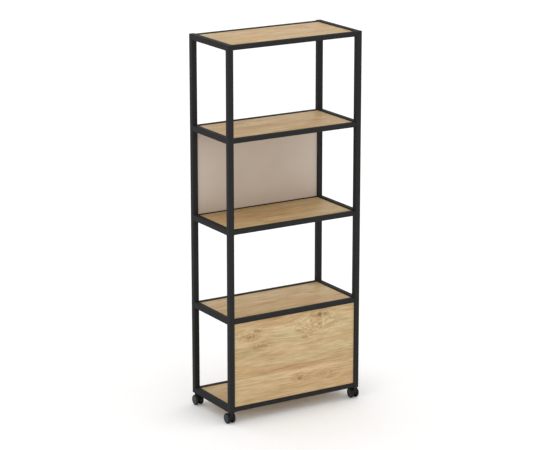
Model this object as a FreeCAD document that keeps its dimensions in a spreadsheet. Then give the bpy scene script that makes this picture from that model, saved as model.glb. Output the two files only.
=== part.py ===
"""Mobile shelving unit: a welded frame of black tube on four twin-wheel casters.

Two side frames of wide tube, joined by narrower rails at the front and the rear, hold five
inset boards, a wood panel across the front of the lowest bay and a plain panel across the
back of the second bay. All sizes are millimetres. The origin is on the floor under the
middle of the unit, +X is its right, -Y its front and +Z up.
"""
import FreeCAD
import Part
import Sketcher

import os

# Driving dimensions, kept in the document's spreadsheet
DIMENSIONS = {
    # The whole unit
    "overall_width": 800,
    "overall_depth": 400,
    "overall_height": 2005,
    "caster_height": 63,
    "level_count": 5,
    # Tube
    "post_side": 30,
    "rail_side": 25,
    "tube_wall": 1.5,
    "tube_radius": 3,
    # Boards and panels
    "board_thickness": 16,
    "board_recess": 3,
    "board_gap": 2,
    "board_edge_radius": 0.8,
    "panel_gap": 1,
    "panel_recess": 6,
    # Welded tabs and the wood screws through them
    "tab_length": 25,
    "tab_reach": 22,
    "tab_thickness": 2,
    "tab_hole_reach": 13,
    "tab_hole_radius": 2.3,
    "shelf_tab_spacing": 500,
    "panel_tab_inset": 70,
    "screw_radius": 2,
    "screw_bite": 8,
    "screw_tip": 2,
    "screw_head_radius": 4,
    "screw_head_height": 2,
    "screw_crown": 0.8,
    "screw_slot_half": 0.5,
    "screw_slot_reach": 2.4,
    "screw_slot_depth": 1.2,
    "screw_hole_gap": 0.05,
    # Inserts in the ends of the posts
    "cap_flange": 1.5,
    "cap_depth": 14,
    "cap_wall": 1.8,
    "socket_flange": 2,
    "socket_depth": 28,
    "insert_gap": 0.2,
    "insert_edge_radius": 0.6,
    # Caster stem and its clip
    "thread_radius": 5,
    "thread_length": 24,
    "thread_chamfer": 1,
    "stem_hex_flats": 17,
    "stem_hex_height": 5,
    "pin_radius": 4,
    "pin_bottom": 30,
    "clip_seat": 33,
    "clip_clearance": 0.35,
    "clip_thickness": 1,
    "clip_radius": 5.5,
    "clip_slot_width": 4,
    "clip_groove_radius": 3.2,
    "clip_groove_gap": 0.05,
    "clip_recess_radius": 6,
    # Caster fork
    "trail": 17,
    "boss_radius": 8,
    "boss_bottom": 28,
    "boss_top": 57.5,
    "boss_edge_radius": 1.2,
    "hood_radius": 27,
    "hood_half_width": 7.5,
    "hood_edge_radius": 2,
    "hood_reach": 21,
    "hood_rise": 6,
    "web_foot": 7,
    "web_foot_rise": 1,
    "web_front": 3,
    "hub_radius": 9,
    "hub_half_width": 8.2,
    "running_gap": 0.05,
    "press_gap": 0.02,
    # Axle and wheels
    "axle_radius": 4,
    "axle_half_length": 19,
    "axle_chamfer": 0.5,
    "axle_groove_radius": 3.3,
    "axle_groove_start": 14.6,
    "axle_groove_width": 1.6,
    "axle_end_gap": 0.4,
    "ridge_radius": 3.7,
    "ridge_width": 0.8,
    "wheel_radius": 28,
    "wheel_inner": 9,
    "wheel_outer": 22.5,
    "wheel_chamfer": 1,
    "shoulder_width": 3.5,
    "shoulder_drop": 4,
    "shoulder_radius": 2,
    "dish_radius": 19.5,
    "dish_depth": 1.8,
    "dish_slope": 2,
    "wheel_web": 3.2,
    "wheel_hub_radius": 7.5,
    "wheel_rim_radius": 23,
    "hub_cap_rise": 1,
}

# Places worked out from the driving dimensions
POST_X = "(dims.overall_width - dims.post_side) / 2"
POST_Y = "(dims.overall_depth - dims.post_side) / 2"
POST_INSIDE_X = "(dims.overall_width / 2 - dims.post_side)"
POST_INSIDE_Y = "(dims.overall_depth / 2 - dims.post_side)"
RAIL_INSIDE_Y = f"({POST_Y} - dims.rail_side / 2)"
POST_BOTTOM = "(dims.caster_height + dims.socket_flange)"
POST_LENGTH = f"(dims.overall_height - dims.cap_flange - {POST_BOTTOM})"
LEVEL_PITCH = "((dims.overall_height - dims.caster_height - dims.post_side) / (dims.level_count - 1))"
RAIL_SET_BACK = "((dims.post_side - dims.rail_side) / 2)"
TUBE_INSIDE = "(dims.post_side / 2 - dims.tube_wall)"

CORNERS = {
    "front_left": (-1, -1),
    "front_right": (1, -1),
    "rear_left": (-1, 1),
    "rear_right": (1, 1),
}
FRONT_PANEL_LEVELS = (4, 5)
BACK_PANEL_LEVELS = (2, 3)

UP = FreeCAD.Vector(0, 0, 1)
FULL_TURN = 360
HALF_TURN = 180
QUARTER_TURN = 90
HEXAGON_STEP = 60
CUBIC_MM_IN_CM = 1000
ON_SIDE = 0.05
PARALLEL = 0.999

doc = FreeCAD.newDocument("mobile_shelving_unit")
sheet = doc.addObject("Spreadsheet::Sheet", "dims")
for row, (alias, number) in enumerate(DIMENSIONS.items(), start=1):
    sheet.set(f"A{row}", alias)
    sheet.set(f"B{row}", str(number))
    sheet.setAlias(f"B{row}", alias)
doc.recompute()

pieces = []


def size(expression):
    """The number that an expression of the sheet's cells gives."""
    return float(sheet.evalExpression(expression))


def level_top(level):
    """Height of the side rails' tops at a level, counted from the top of the unit."""
    return f"(dims.overall_height - {level - 1} * {LEVEL_PITCH})"


def rail_top(level):
    """Height of the front and rear rails' tops, a little below the side rails'."""
    return f"({level_top(level)} - {RAIL_SET_BACK})"


def board_bottom(level):
    """Height of the under face of a level's board."""
    return f"({rail_top(level)} - dims.board_recess - dims.board_thickness)"


# Sketches and features

def new_body(label):
    body = doc.addObject("PartDesign::Body", label)
    body.Label = label
    return body


def new_sketch(body, role, offset="0"):
    """A sketch on one of the body's own planes, or a distance along that plane's normal."""
    planes = {feature.Role: feature for feature in body.Origin.OriginFeatures}
    sketch = body.newObject("Sketcher::SketchObject", "sketch")
    sketch.AttachmentSupport = (planes[role], [""])
    sketch.MapMode = "FlatFace"
    sketch.setExpression("AttachmentOffset.Base.z", offset)
    return sketch


def bind(sketch, constraint, expression):
    index = sketch.addConstraint(constraint)
    sketch.setExpression(f"Constraints[{index}]", expression)


def add_outline(sketch, points):
    """A closed chain of straight lines; each point is a pair of expressions."""
    corners = [FreeCAD.Vector(size(x), size(y), 0) for x, y in points]
    count = len(corners)
    first = sketch.GeometryCount
    for index, corner in enumerate(corners):
        sketch.addGeometry(Part.LineSegment(corner, corners[(index + 1) % count]), False)
    for index, (x, y) in enumerate(points):
        line = first + index
        following = first + (index + 1) % count
        corner = corners[index]
        sketch.addConstraint(Sketcher.Constraint("Coincident", line, 2, following, 1))
        bind(sketch, Sketcher.Constraint("DistanceX", -1, 1, line, 1, corner.x), x)
        bind(sketch, Sketcher.Constraint("DistanceY", -1, 1, line, 1, corner.y), y)


def add_rectangle(sketch, half_width, half_height):
    """A rectangle about the sketch's origin."""
    left = f"-({half_width})"
    low = f"-({half_height})"
    add_outline(sketch, [(left, low), (half_width, low), (half_width, half_height), (left, half_height)])


def add_circle(sketch, x, y, radius):
    circle = Part.Circle(FreeCAD.Vector(size(x), size(y), 0), UP, size(radius))
    index = sketch.addGeometry(circle, False)
    bind(sketch, Sketcher.Constraint("DistanceX", -1, 1, index, 3, size(x)), x)
    bind(sketch, Sketcher.Constraint("DistanceY", -1, 1, index, 3, size(y)), y)
    bind(sketch, Sketcher.Constraint("Radius", index, size(radius)), radius)


def add_pad(body, sketch, length, downwards=False):
    pad = body.newObject("PartDesign::Pad", "pad")
    pad.Profile = sketch
    pad.setExpression("Length", length)
    pad.Reversed = downwards
    return pad


def add_pocket(body, sketch, length, along_normal=False):
    """Cut a sketch's shape into the body, against the plane's normal or along it."""
    before = body.Tip
    doc.recompute()
    pocket = body.newObject("PartDesign::Pocket", "pocket")
    pocket.Profile = sketch
    pocket.setExpression("Length", length)
    pocket.Reversed = along_normal
    doc.recompute()
    if pocket.Shape.Volume >= before.Shape.Volume:
        raise RuntimeError(f"{body.Label}: a pocket cuts nothing")
    return pocket


def add_revolution(body, sketch, axis):
    revolution = body.newObject("PartDesign::Revolution", "revolution")
    revolution.Profile = sketch
    revolution.ReferenceAxis = (sketch, [axis])
    revolution.Angle = FULL_TURN
    return revolution


def add_fillet(body, base, edges, radius):
    if not edges:
        raise RuntimeError(f"{body.Label}: no edge to round")
    fillet = body.newObject("PartDesign::Fillet", "fillet")
    fillet.Base = (base, edges)
    fillet.setExpression("Radius", radius)
    doc.recompute()
    return fillet


def edges_along(feature, axis, sides):
    """Straight edges along an axis (0, 1, 2) that lie on so many of the shape's box sides.

    An outer corner lies on 2 of them and an edge inside the shape on none.
    """
    box = feature.Shape.BoundBox
    lows = (box.XMin, box.YMin, box.ZMin)
    highs = (box.XMax, box.YMax, box.ZMax)
    names = []
    for number, edge in enumerate(feature.Shape.Edges, start=1):
        if edge.Curve.TypeId != "Part::GeomLine" or abs(edge.Curve.Direction[axis]) < PARALLEL:
            continue
        middle = edge.CenterOfMass
        touched = 0
        for other in range(3):
            reach = min(middle[other] - lows[other], highs[other] - middle[other])
            if other != axis and reach < ON_SIDE:
                touched += 1
        if touched == sides:
            names.append(f"Edge{number}")
    return names


def circle_edges(feature, radius):
    """Circular edges of one radius."""
    names = []
    for number, edge in enumerate(feature.Shape.Edges, start=1):
        if edge.Curve.TypeId == "Part::GeomCircle" and abs(edge.Curve.Radius - size(radius)) < ON_SIDE:
            names.append(f"Edge{number}")
    return names


def place(piece, x, y, z, turn=0):
    """Bind a piece's place to the sheet, turned about its own upright axis."""
    piece.Placement = FreeCAD.Placement(FreeCAD.Vector(), FreeCAD.Rotation(UP, turn))
    for axis, expression in zip("xyz", (x, y, z)):
        piece.setExpression(f"Placement.Base.{axis}", expression)


def spot(x, y, z, rotation):
    """A placement worked out from expressions, for one copy in a group."""
    return FreeCAD.Placement(FreeCAD.Vector(size(x), size(y), size(z)), rotation)


def make_group(label, master, spots):
    """Copies of one piece, each a solid of its own, as one sub-part."""
    doc.recompute()
    copies = []
    for placement in spots:
        copy = master.Shape.copy()
        copy.Placement = placement.multiply(copy.Placement)
        copies.append(copy)
    group = doc.addObject("Part::Feature", label)
    group.Label = label
    group.Shape = Part.makeCompound(copies)
    pieces.append(group)


# Frame

def make_tube(label, role, axis, side, length):
    """A square tube with rounded corners, centred on its axis."""
    body = new_body(label)
    sketch = new_sketch(body, role)
    half = f"dims.{side} / 2"
    inside = f"(dims.{side} / 2 - dims.tube_wall)"
    add_rectangle(sketch, half, half)
    add_rectangle(sketch, inside, inside)
    tube = add_pad(body, sketch, length)
    doc.recompute()
    rounded = add_fillet(body, tube, edges_along(tube, axis, 2), "dims.tube_radius")
    add_fillet(body, rounded, edges_along(rounded, axis, 0), "dims.tube_radius - dims.tube_wall")
    pieces.append(body)
    return body


def make_posts():
    for corner, (side, face) in CORNERS.items():
        post = make_tube(f"{corner}_post", "XY_Plane", 2, "post_side", POST_LENGTH)
        place(post, f"{side} * {POST_X}", f"{face} * {POST_Y}", POST_BOTTOM)


def make_rails(level):
    """The four rails of one level, each between the inner faces of two posts."""
    middle = f"{level_top(level)} - dims.post_side / 2"
    for name, face in (("front", -1), ("rear", 1)):
        rail = make_tube(f"{name}_rail_{level}", "YZ_Plane", 0, "rail_side", f"2 * {POST_INSIDE_X}")
        place(rail, f"-1 * {POST_INSIDE_X}", f"{face} * {POST_Y}", middle)
    for name, side in (("left", -1), ("right", 1)):
        rail = make_tube(f"{name}_rail_{level}", "XZ_Plane", 1, "post_side", f"2 * {POST_INSIDE_Y}")
        place(rail, f"{side} * {POST_X}", POST_INSIDE_Y, middle)


def make_insert(label, flange, depth):
    """A square insert for a tube's end: a flange below its origin and a plug above it."""
    body = new_body(label)
    flange_sketch = new_sketch(body, "XY_Plane")
    add_rectangle(flange_sketch, "dims.post_side / 2", "dims.post_side / 2")
    plate = add_pad(body, flange_sketch, flange, downwards=True)
    doc.recompute()
    rounded = add_fillet(body, plate, edges_along(plate, 2, 2), "dims.tube_radius")
    outer_face = min(rounded.Shape.Faces, key=lambda face: face.CenterOfMass.z)
    rim = []
    for number, edge in enumerate(rounded.Shape.Edges, start=1):
        if any(edge.isSame(bordering) for bordering in outer_face.Edges):
            rim.append(f"Edge{number}")
    add_fillet(body, rounded, rim, "dims.insert_edge_radius")
    plug_sketch = new_sketch(body, "XY_Plane")
    plug_half = f"{TUBE_INSIDE} - dims.insert_gap"
    add_rectangle(plug_sketch, plug_half, plug_half)
    plug = add_pad(body, plug_sketch, depth)
    doc.recompute()
    upper = [name for name in edges_along(plug, 2, 0) if plug.getSubObject(name).CenterOfMass.z > 0]
    add_fillet(body, plug, upper, "dims.tube_radius - dims.tube_wall")
    return body


def corner_spots(height, rotation):
    return [spot(f"{side} * {POST_X}", f"{face} * {POST_Y}", height, rotation)
            for side, face in CORNERS.values()]


def make_post_caps():
    cap = make_insert("cap_pattern", "dims.cap_flange", "dims.cap_depth")
    hollow = new_sketch(cap, "XY_Plane", "dims.cap_depth")
    hollow_half = f"{TUBE_INSIDE} - dims.insert_gap - dims.cap_wall"
    add_rectangle(hollow, hollow_half, hollow_half)
    add_pocket(cap, hollow, "dims.cap_depth")
    upside_down = FreeCAD.Rotation(FreeCAD.Vector(1, 0, 0), HALF_TURN)
    make_group("post_caps", cap, corner_spots("dims.overall_height - dims.cap_flange", upside_down))


def make_caster_sockets():
    socket = make_insert("socket_pattern", "dims.socket_flange", "dims.socket_depth")
    bore = new_sketch(socket, "XY_Plane", "dims.socket_depth")
    add_circle(bore, "0", "0", "dims.thread_radius + dims.press_gap")
    add_pocket(socket, bore, "dims.socket_depth + dims.socket_flange")
    make_group("caster_sockets", socket, corner_spots(POST_BOTTOM, FreeCAD.Rotation()))


# Boards and panels

def make_board(label, role, half_width, half_height, holes):
    """A board drawn on the face that its screws enter, with eased edges and screw holes."""
    body = new_body(label)
    outline = new_sketch(body, role)
    add_rectangle(outline, half_width, half_height)
    slab = add_pad(body, outline, "dims.board_thickness")
    doc.recompute()
    edges = edges_along(slab, 0, 2) + edges_along(slab, 1, 2) + edges_along(slab, 2, 2)
    add_fillet(body, slab, edges, "dims.board_edge_radius")
    hole_sketch = new_sketch(body, role)
    for x, y in holes:
        add_circle(hole_sketch, x, y, "dims.screw_radius + dims.screw_hole_gap")
    add_pocket(body, hole_sketch, "dims.screw_bite + dims.screw_hole_gap", along_normal=True)
    pieces.append(body)
    return body


def shelf_tab_places():
    """Each tab of a level: where it meets its rail, its turn, and its screw's place."""
    hole_x = f"({POST_INSIDE_X} - dims.tab_hole_reach)"
    hole_y = f"({RAIL_INSIDE_Y} - dims.tab_hole_reach)"
    places = []
    for side in (-1, 1):
        along = f"{side} * dims.shelf_tab_spacing / 2"
        places.append((along, f"-1 * {RAIL_INSIDE_Y}", 0, along, f"-1 * {hole_y}"))
        places.append((along, RAIL_INSIDE_Y, HALF_TURN, along, hole_y))
        places.append((f"{side} * {POST_INSIDE_X}", "0", side * QUARTER_TURN, f"{side} * {hole_x}", "0"))
    return places


def make_shelf(level):
    holes = [(hole_x, hole_y) for _, _, _, hole_x, hole_y in shelf_tab_places()]
    half_width = f"{POST_INSIDE_X} - dims.board_gap"
    half_depth = f"{RAIL_INSIDE_Y} - dims.board_gap"
    shelf = make_board(f"shelf_{level}", "XY_Plane", half_width, half_depth, holes)
    place(shelf, "0", "0", board_bottom(level))


def panel_bay(levels):
    """Height of the middle of a panel's bay and half of the panel's own height."""
    upper, lower = levels
    top = f"({rail_top(upper)} - dims.rail_side - dims.panel_gap)"
    bottom = f"({rail_top(lower)} + dims.panel_gap)"
    return f"({top} + {bottom}) / 2", f"({top} - {bottom}) / 2"


def panel_screw_places(levels):
    """Places of a panel's screws from its middle: three up each side."""
    _, half_height = panel_bay(levels)
    out = f"({POST_INSIDE_X} - dims.tab_hole_reach)"
    up = f"({half_height} - dims.panel_tab_inset)"
    return [(f"{side} * {out}", f"{row} * {up}") for side in (-1, 1) for row in (-1, 0, 1)]


FRONT_PANEL_REAR = "(dims.panel_recess + dims.board_thickness - dims.overall_depth / 2)"
BACK_PANEL_REAR = "(dims.overall_depth / 2 - dims.panel_recess)"
PANELS = {
    "front_panel": (FRONT_PANEL_LEVELS, FRONT_PANEL_REAR),
    "back_panel": (BACK_PANEL_LEVELS, BACK_PANEL_REAR),
}


def make_panels():
    half_width = f"{POST_INSIDE_X} - dims.panel_gap"
    for label, (levels, rear) in PANELS.items():
        middle, half_height = panel_bay(levels)
        holes = panel_screw_places(levels)
        panel = make_board(label, "XZ_Plane", half_width, half_height, holes)
        place(panel, "0", rear, middle)


# Tabs and screws

def make_tab_pattern():
    """A flat tab that reaches along +Y from the rail or post that it is welded to."""
    plate = doc.addObject("Part::Box", "tab_plate")
    plate.setExpression("Length", "dims.tab_length")
    plate.setExpression("Width", "dims.tab_reach")
    plate.setExpression("Height", "dims.tab_thickness")
    plate.setExpression("Placement.Base.x", "-dims.tab_length / 2")
    drill = doc.addObject("Part::Cylinder", "tab_drill")
    drill.setExpression("Radius", "dims.tab_hole_radius")
    drill.setExpression("Height", "dims.tab_thickness")
    drill.setExpression("Placement.Base.y", "dims.tab_hole_reach")
    tab = doc.addObject("Part::Cut", "tab_pattern")
    tab.Base = plate
    tab.Tool = drill
    return tab


def make_screw_pattern():
    """A pan-head wood screw along +Z, its head under z = 0, with a cross slot."""
    body = new_body("screw_pattern")
    tip = "(dims.tab_thickness + dims.screw_bite)"
    half = new_sketch(body, "XZ_Plane")
    add_outline(half, [
        ("0", "-dims.screw_head_height"),
        ("dims.screw_head_radius - dims.screw_crown", "-dims.screw_head_height"),
        ("dims.screw_head_radius", "dims.screw_crown - dims.screw_head_height"),
        ("dims.screw_head_radius", "0"),
        ("dims.screw_radius", "0"),
        ("dims.screw_radius", f"{tip} - dims.screw_tip"),
        ("0", tip),
    ])
    add_revolution(body, half, "V_Axis")
    cross = new_sketch(body, "XY_Plane", "-dims.screw_head_height")
    narrow = "dims.screw_slot_half"
    far = "dims.screw_slot_reach"
    back = f"-{narrow}"
    far_back = f"-{far}"
    add_outline(cross, [
        (narrow, narrow), (narrow, far), (back, far), (back, narrow),
        (far_back, narrow), (far_back, back), (back, back), (back, far_back),
        (narrow, far_back), (narrow, back), (far, back), (far, narrow),
    ])
    add_pocket(body, cross, "dims.screw_slot_depth", along_normal=True)
    return body


def make_shelf_fixings(tab, screw):
    tab_spots = []
    screw_spots = []
    for level in range(1, int(size("dims.level_count")) + 1):
        tab_height = f"{board_bottom(level)} - dims.tab_thickness"
        for x, y, turn, hole_x, hole_y in shelf_tab_places():
            tab_spots.append(spot(x, y, tab_height, FreeCAD.Rotation(UP, turn)))
            screw_spots.append(spot(hole_x, hole_y, tab_height, FreeCAD.Rotation()))
    make_group("shelf_tabs", tab, tab_spots)
    make_group("shelf_screws", screw, screw_spots)


def make_panel_fixings(tab, screw):
    """Tabs on the posts' inner faces behind each panel, and screws forward through them."""
    forward = FreeCAD.Rotation(FreeCAD.Vector(1, 0, 0), QUARTER_TURN)
    screw_spots = []
    for label, (levels, rear) in PANELS.items():
        middle, _ = panel_bay(levels)
        tab_spots = []
        for x, z in panel_screw_places(levels):
            side = -1 if size(x) < 0 else 1
            inward = FreeCAD.Vector(-side, 0, 0)
            backward = FreeCAD.Vector(0, 1, 0)
            flat = FreeCAD.Rotation(inward.cross(backward), inward, backward, "ZYX")
            height = f"{middle} + {z}"
            tab_spots.append(spot(f"{side} * {POST_INSIDE_X}", rear, height, flat))
            screw_spots.append(spot(x, f"{rear} + dims.tab_thickness", height, forward))
        make_group(f"{label}_tabs", tab, tab_spots)
    make_group("panel_screws", screw, screw_spots)


# Casters

def caster_spots():
    """One placement for each caster; the rear ones are turned so that all trail inwards."""
    return [spot(f"{side} * {POST_X}", f"{face} * {POST_Y}", "0", FreeCAD.Rotation(UP, caster_turn(face)))
            for side, face in CORNERS.values()]


def caster_turn(face):
    return HALF_TURN if face > 0 else 0


CLIP_TOP = "(dims.clip_seat - dims.clip_clearance)"
CLIP_BOTTOM = f"({CLIP_TOP} - dims.clip_thickness)"


def make_stems():
    """Threaded stems: a turned pin with a clip groove, and a hexagon below the thread."""
    body = new_body("stem_pattern")
    groove_bottom = f"{CLIP_BOTTOM} - dims.clip_groove_gap"
    groove_top = f"{CLIP_TOP} + dims.clip_groove_gap"
    hex_bottom = "(dims.caster_height - dims.stem_hex_height)"
    thread_top = "(dims.caster_height + dims.thread_length)"
    half = new_sketch(body, "XZ_Plane")
    add_outline(half, [
        ("0", "dims.pin_bottom"),
        ("dims.pin_radius", "dims.pin_bottom"),
        ("dims.pin_radius", groove_bottom),
        ("dims.clip_groove_radius", groove_bottom),
        ("dims.clip_groove_radius", groove_top),
        ("dims.pin_radius", groove_top),
        ("dims.pin_radius", hex_bottom),
        ("dims.thread_radius", hex_bottom),
        ("dims.thread_radius", f"{thread_top} - dims.thread_chamfer"),
        ("dims.thread_radius - dims.thread_chamfer", thread_top),
        ("0", thread_top),
    ])
    add_revolution(body, half, "V_Axis")
    hexagon = new_sketch(body, "XY_Plane", hex_bottom)
    reach = "dims.stem_hex_flats / sqrt(3)"
    add_outline(hexagon, [(f"{reach} * cos({angle} deg)", f"{reach} * sin({angle} deg)")
                          for angle in range(0, FULL_TURN, HEXAGON_STEP)])
    add_pad(body, hexagon, "dims.stem_hex_height")
    make_group("caster_stems", body, caster_spots())


def make_clips():
    """Retaining clips in the stems' grooves: open rings."""
    disc = doc.addObject("Part::Cylinder", "clip_disc")
    disc.setExpression("Radius", "dims.clip_radius")
    hole = doc.addObject("Part::Cylinder", "clip_hole")
    hole.setExpression("Radius", "dims.clip_groove_radius + dims.clip_groove_gap")
    slot = doc.addObject("Part::Box", "clip_slot")
    slot.setExpression("Length", "dims.clip_slot_width")
    slot.setExpression("Width", "dims.clip_radius")
    slot.setExpression("Placement.Base.x", "-dims.clip_slot_width / 2")
    for cutter in (disc, hole, slot):
        cutter.setExpression("Height", "dims.clip_thickness")
        cutter.setExpression("Placement.Base.z", CLIP_BOTTOM)
    ring = doc.addObject("Part::Cut", "clip_ring")
    ring.Base = disc
    ring.Tool = hole
    clip = doc.addObject("Part::Cut", "clip_pattern")
    clip.Base = ring
    clip.Tool = slot
    make_group("stem_clips", clip, caster_spots())


def make_fork(label):
    """The moulded middle of a caster: stem boss, axle hub and a hood between the wheels."""
    body = new_body(label)
    far = "2 * dims.hood_radius"
    foot = "(dims.wheel_radius - dims.hub_radius + dims.web_foot_rise)"
    hood = new_sketch(body, "YZ_Plane", "-dims.hood_half_width")
    add_circle(hood, "dims.trail", "dims.wheel_radius", "dims.hood_radius")
    add_pad(body, hood, "2 * dims.hood_half_width")
    below = new_sketch(body, "YZ_Plane", "-dims.hood_half_width")
    add_outline(below, [
        (f"-{far}", f"-{far}"),
        (f"dims.trail + {far}", f"-{far}"),
        (f"dims.trail + {far}", "dims.wheel_radius + dims.hood_rise"),
        ("dims.trail + dims.hood_reach", "dims.wheel_radius + dims.hood_rise"),
        ("dims.trail + dims.web_foot", foot),
        ("dims.trail - dims.web_foot", foot),
        ("-dims.web_front", "dims.boss_bottom"),
        ("-dims.web_front", f"dims.wheel_radius + {far}"),
        (f"-{far}", f"dims.wheel_radius + {far}"),
    ])
    web = add_pocket(body, below, "2 * dims.hood_half_width", along_normal=True)
    add_fillet(body, web, circle_edges(web, "dims.hood_radius"), "dims.hood_edge_radius")
    hub = new_sketch(body, "YZ_Plane", "-dims.hub_half_width")
    add_circle(hub, "dims.trail", "dims.wheel_radius", "dims.hub_radius")
    add_pad(body, hub, "2 * dims.hub_half_width")
    boss = new_sketch(body, "XY_Plane", "dims.boss_bottom")
    add_circle(boss, "0", "0", "dims.boss_radius")
    boss_pad = add_pad(body, boss, "dims.boss_top - dims.boss_bottom")
    doc.recompute()
    top_edge = [name for name in circle_edges(boss_pad, "dims.boss_radius")
                if boss_pad.getSubObject(name).CenterOfMass.z > size("dims.boss_top") - ON_SIDE]
    add_fillet(body, boss_pad, top_edge, "dims.boss_edge_radius")
    stem_bore = new_sketch(body, "XY_Plane", "dims.boss_top")
    add_circle(stem_bore, "0", "0", "dims.pin_radius + dims.running_gap")
    add_pocket(body, stem_bore, "dims.boss_top - dims.clip_seat")
    recess = new_sketch(body, "XY_Plane")
    add_circle(recess, "0", "0", "dims.clip_recess_radius")
    add_pocket(body, recess, "dims.clip_seat", along_normal=True)
    axle_bore = new_sketch(body, "YZ_Plane", "-dims.hub_half_width")
    add_circle(axle_bore, "dims.trail", "dims.wheel_radius", "dims.axle_radius + dims.press_gap")
    add_pocket(body, axle_bore, "2 * dims.hub_half_width", along_normal=True)
    pieces.append(body)
    return body


def make_axle(label):
    """A turned axle with a groove near each end for the wheels' retaining ridges."""
    body = new_body(label)
    groove_end = "(dims.axle_groove_start + dims.axle_groove_width)"
    right_half = [
        ("dims.axle_groove_start", "dims.axle_radius"),
        ("dims.axle_groove_start", "dims.axle_groove_radius"),
        (groove_end, "dims.axle_groove_radius"),
        (groove_end, "dims.axle_radius"),
        ("dims.axle_half_length - dims.axle_chamfer", "dims.axle_radius"),
        ("dims.axle_half_length", "dims.axle_radius - dims.axle_chamfer"),
        ("dims.axle_half_length", "0"),
    ]
    left_half = [(f"-({x})", radius) for x, radius in reversed(right_half)]
    half = new_sketch(body, "XY_Plane")
    add_outline(half, left_half + right_half)
    add_revolution(body, half, "H_Axis")
    pieces.append(body)
    return body


def make_wheel(label):
    """A moulded wheel on +X of the axle's middle, hollow on its inner side and dished outside."""
    body = new_body(label)
    inner = "dims.wheel_inner"
    outer = "dims.wheel_outer"
    bore = "dims.axle_radius + dims.running_gap"
    bore_end = "dims.axle_half_length + dims.axle_end_gap"
    ridge_start = "(dims.axle_groove_start + (dims.axle_groove_width - dims.ridge_width) / 2)"
    ridge_end = f"({ridge_start} + dims.ridge_width)"
    dish = "(dims.wheel_outer - dims.dish_depth)"
    hub = "dims.wheel_hub_radius"
    half = new_sketch(body, "XY_Plane")
    add_outline(half, [
        (inner, bore),
        (inner, hub),
        (f"{dish} - dims.wheel_web", hub),
        (f"{dish} - dims.wheel_web", "dims.wheel_rim_radius"),
        (inner, "dims.wheel_rim_radius"),
        (inner, "dims.wheel_radius - dims.wheel_chamfer"),
        (f"{inner} + dims.wheel_chamfer", "dims.wheel_radius"),
        (f"{outer} - dims.shoulder_width", "dims.wheel_radius"),
        (outer, "dims.wheel_radius - dims.shoulder_drop"),
        (outer, "dims.dish_radius"),
        (dish, "dims.dish_radius - dims.dish_slope"),
        (dish, f"{hub} + dims.hub_cap_rise"),
        (f"{dish} + dims.hub_cap_rise", hub),
        (f"{dish} + dims.hub_cap_rise", "0"),
        (bore_end, "0"),
        (bore_end, bore),
        (ridge_end, bore),
        (ridge_end, "dims.ridge_radius"),
        (ridge_start, "dims.ridge_radius"),
        (ridge_start, bore),
    ])
    turned = add_revolution(body, half, "H_Axis")
    doc.recompute()
    edges = circle_edges(turned, "dims.wheel_radius")
    edges += circle_edges(turned, "dims.wheel_radius - dims.shoulder_drop")
    add_fillet(body, turned, edges, "dims.shoulder_radius")
    pieces.append(body)
    return body


def make_casters():
    make_stems()
    make_clips()
    for corner, (side, face) in CORNERS.items():
        x = f"{side} * {POST_X}"
        y = f"{face} * {POST_Y}"
        axle_y = f"{face} * ({POST_Y} - dims.trail)"
        place(make_fork(f"{corner}_caster_fork"), x, y, "0", caster_turn(face))
        place(make_axle(f"{corner}_caster_axle"), x, axle_y, "dims.wheel_radius")
        for name, turn in (("left", HALF_TURN), ("right", 0)):
            wheel = make_wheel(f"{corner}_caster_{name}_wheel")
            place(wheel, x, axle_y, "dims.wheel_radius", turn)


def write_pieces():
    """Check the whole document and each piece, then write one file a piece."""
    doc.recompute()
    for item in doc.Objects:
        if "Invalid" in item.State or "Error" in item.State:
            raise RuntimeError(f"{item.Label} failed: {item.State}")
    for piece in pieces:
        shape = piece.Shape
        if shape.isNull() or not shape.isValid() or not shape.Solids:
            raise RuntimeError(f"{piece.Label} has no valid solid")
    os.makedirs("parts", exist_ok=True)
    for piece in pieces:
        piece.Shape.exportStep(f"parts/{piece.Label}.step")
        volume = piece.Shape.Volume / CUBIC_MM_IN_CM
        print(f"{piece.Label}: {len(piece.Shape.Solids)} solids, {volume:.2f} cm3")


make_posts()
make_post_caps()
make_caster_sockets()
for shelf_level in range(1, int(size("dims.level_count")) + 1):
    make_rails(shelf_level)
    make_shelf(shelf_level)
make_panels()
tab_pattern = make_tab_pattern()
screw_pattern = make_screw_pattern()
make_shelf_fixings(tab_pattern, screw_pattern)
make_panel_fixings(tab_pattern, screw_pattern)
make_casters()
write_pieces()
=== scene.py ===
import math
import operator
from collections import namedtuple

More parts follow.
